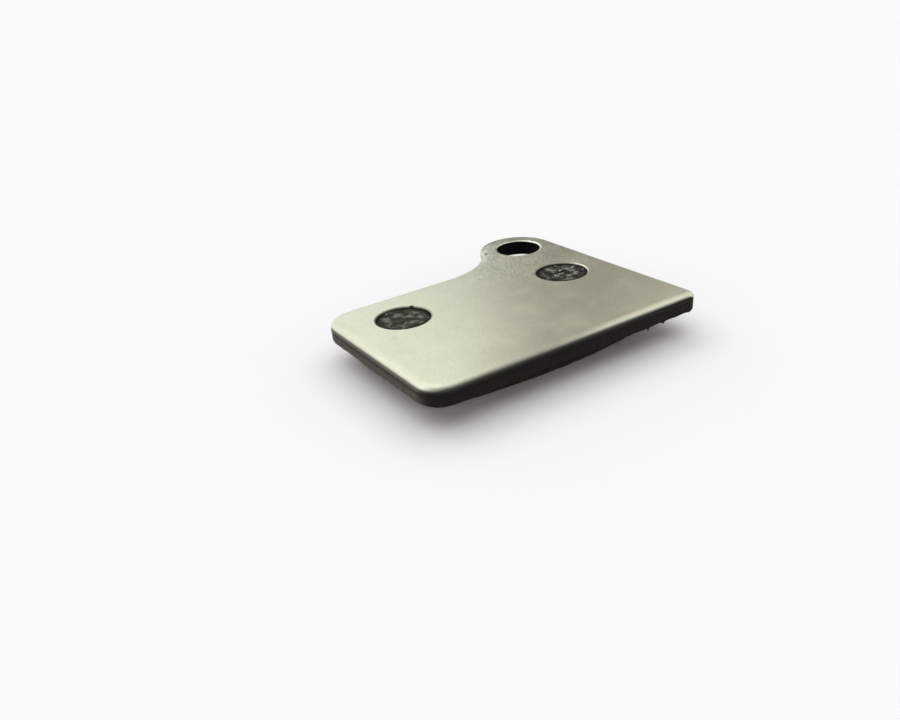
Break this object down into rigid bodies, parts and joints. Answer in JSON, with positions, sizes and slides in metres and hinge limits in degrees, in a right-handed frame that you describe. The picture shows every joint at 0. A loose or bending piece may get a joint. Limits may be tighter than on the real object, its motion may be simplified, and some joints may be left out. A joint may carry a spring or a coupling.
{
  "type": "bicycle disc brake pad",
  "caption": "Bicycle disc brake pad: a flat stamped steel backing plate with a pin lug at one corner, and a friction block keyed through round holes in the plate.",
  "frame": {"origin": "under the middle of the pad's outline, on the plane of the friction face that the pad lies on", "axes": "+X along the plate's long side, +Y towards the pin lug, +Z out of the plate's back face"},
  "size_m": [0.03, 0.0274, 0.0038],
  "materials": {
    "plate_steel": "satin",
    "friction_material": "matte"
  },
  "bodies": {
    "root": {"backing_plate": "plate_steel", "friction_block": "friction_material"}
  },
  "joints": []
}
